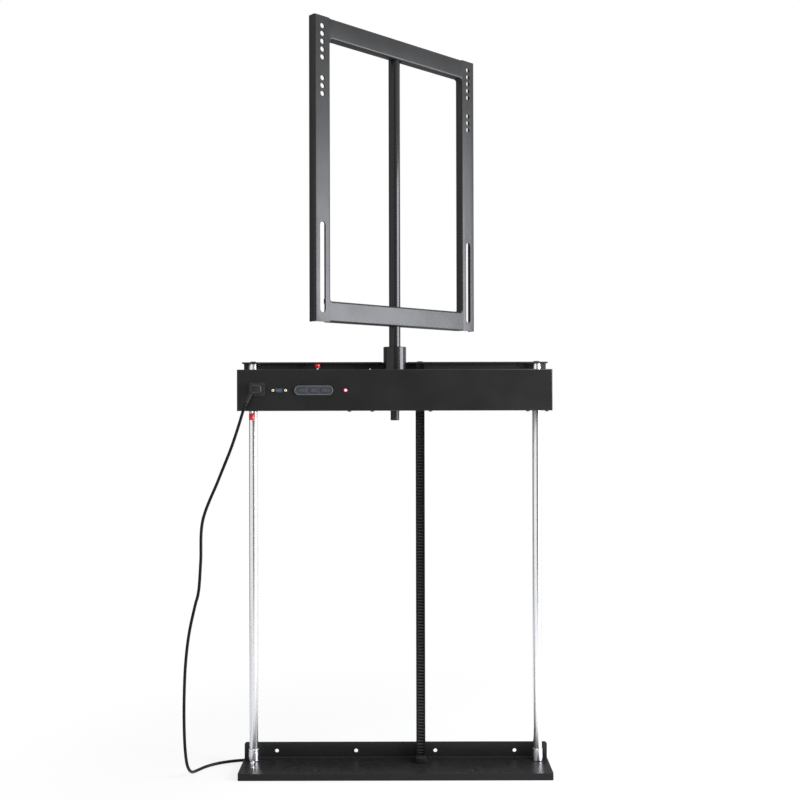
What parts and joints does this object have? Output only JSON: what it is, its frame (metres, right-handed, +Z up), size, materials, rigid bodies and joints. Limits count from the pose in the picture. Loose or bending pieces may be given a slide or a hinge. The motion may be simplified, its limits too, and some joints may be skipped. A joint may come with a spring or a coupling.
{
  "type": "motorised television lift stand",
  "caption": "Floor-standing television lift: a carriage climbs chrome guide rods on a rack and pinion and carries a geared column that swivels an open screen frame.",
  "frame": {"origin": "On the floor, under the swivel axis of the column", "axes": "+Z up, -Y towards the front with the control panel, +X to the right seen from the front; metres"},
  "size_m": [0.737, 0.3067, 1.494],
  "materials": {
    "black_paint": "satin black powder coat",
    "chrome": "polished chrome plate",
    "dark_steel": "blackened steel",
    "plated_steel": "zinc-plated steel",
    "bronze": "sintered bronze",
    "brass": "machined brass",
    "white_plastic": "natural nylon",
    "black_plastic": "moulded",
    "grey_plastic": "moulded",
    "key_plastic": "moulded",
    "red_plastic": "moulded, glossy",
    "blue_plastic": "moulded",
    "board_green": "solder resist",
    "red_lens": "clear red, lit",
    "black_rubber": "soft moulded"
  },
  "bodies": {
    "stand": {"base_plate": "black_paint", "base_upstand": "black_paint", "rod_foot_left": "chrome", "rod_foot_right": "chrome", "guide_rod_left": "chrome", "guide_rod_right": "chrome", "rack_channel": "black_paint", "lift_rack": "dark_steel", "rack_foot": "black_paint", "top_beam": "black_paint", "top_bolt_left": "dark_steel", "top_bolt_right": "dark_steel", "rack_bolt": "dark_steel", "striker_screw": "chrome", "cord_coil": "black_rubber", "cord_tie": "black_plastic", "mains_plug": "black_rubber"},
    "carriage": {"carriage_tray": "black_paint", "guide_block_left": "black_plastic", "guide_block_right": "black_plastic", "guide_bush_left": "bronze", "guide_bush_right": "bronze", "gear_deck": "plated_steel", "column_collar": "black_paint", "column_bush_lower": "bronze", "column_bush_upper": "black_paint", "shaft_bush": "bronze", "swivel_motor": "plated_steel", "lift_motor_bracket": "plated_steel", "lift_motor": "plated_steel", "keypad_bezel": "grey_plastic", "power_inlet": "black_plastic", "dsub_shell": "plated_steel", "dsub_insert": "blue_plastic", "jackscrew_left": "brass", "jackscrew_right": "brass", "status_lamp": "red_lens", "control_board": "board_green", "power_supply": "plated_steel", "upper_switch": "black_plastic", "lower_switch": "black_plastic", "cord_connector": "black_rubber", "power_cord": "black_rubber"},
    "column": {"column_shaft": "dark_steel", "shaft_clip": "dark_steel", "column_pole": "black_paint", "column_gear": "white_plastic", "frame_stile_left": "black_paint", "frame_stile_right": "black_paint", "frame_rail_lower": "black_paint", "frame_rail_upper": "black_paint", "pole_saddle_lower": "dark_steel", "pole_saddle_upper": "dark_steel"},
    "lift_pinion": {"lift_pinion": "plated_steel"},
    "swivel_pinion": {"swivel_pinion": "brass"},
    "key_down": {"key_down": "key_plastic"},
    "key_stop": {"key_stop": "key_plastic"},
    "key_up": {"key_up": "key_plastic"},
    "upper_plunger": {"upper_plunger": "red_plastic"},
    "lower_plunger": {"lower_plunger": "red_plastic"}
  },
  "joints": [
    {"name": "lift_slide", "type": "slide", "parent": "stand", "child": "carriage", "axis": [0, 0, 1], "range_m": [-0.065, 0], "deforming": ["power_cord"]},
    {"name": "pinion_spin", "type": "hinge", "parent": "carriage", "child": "lift_pinion", "pos_m": [0.05195, 0.0003, 0.778], "axis": [1, 0, 0], "range_deg": [-2, 268]},
    {"name": "column_swivel", "type": "hinge", "parent": "carriage", "child": "column", "pos_m": [0, 0, 0.9], "axis": [0, 0, 1], "range_deg": [-222.3, 137.7]},
    {"name": "swivel_pinion_spin", "type": "hinge", "parent": "carriage", "child": "swivel_pinion", "pos_m": [-0.0352, 0, 0.75], "axis": [0, 0, 1], "range_deg": [-250, 402]},
    {"name": "key_down_press", "type": "slide", "parent": "carriage", "child": "key_down", "axis": [0, 1, 0], "range_m": [0, 0.0006], "stiffness_N_per_m": 1000, "springref_m": -0.0008},
    {"name": "key_stop_press", "type": "slide", "parent": "carriage", "child": "key_stop", "axis": [0, 1, 0], "range_m": [0, 0.0006], "stiffness_N_per_m": 1000, "springref_m": -0.0008},
    {"name": "key_up_press", "type": "slide", "parent": "carriage", "child": "key_up", "axis": [0, 1, 0], "range_m": [0, 0.0006], "stiffness_N_per_m": 1000, "springref_m": -0.0008},
    {"name": "upper_plunger_press", "type": "slide", "parent": "carriage", "child": "upper_plunger", "axis": [0, 0, 1], "range_m": [-0.004, 0], "stiffness_N_per_m": 400, "springref_m": 0.002},
    {"name": "lower_plunger_press", "type": "slide", "parent": "carriage", "child": "lower_plunger", "axis": [0, 0, 1], "range_m": [0, 0.004], "stiffness_N_per_m": 400, "springref_m": -0.002}
  ],
  "couplings": [
    {"joint": "pinion_spin", "follows": "lift_slide", "rad_per_m": -71.429},
    {"joint": "swivel_pinion_spin", "follows": "column_swivel", "ratio": -1.8}
  ]
}
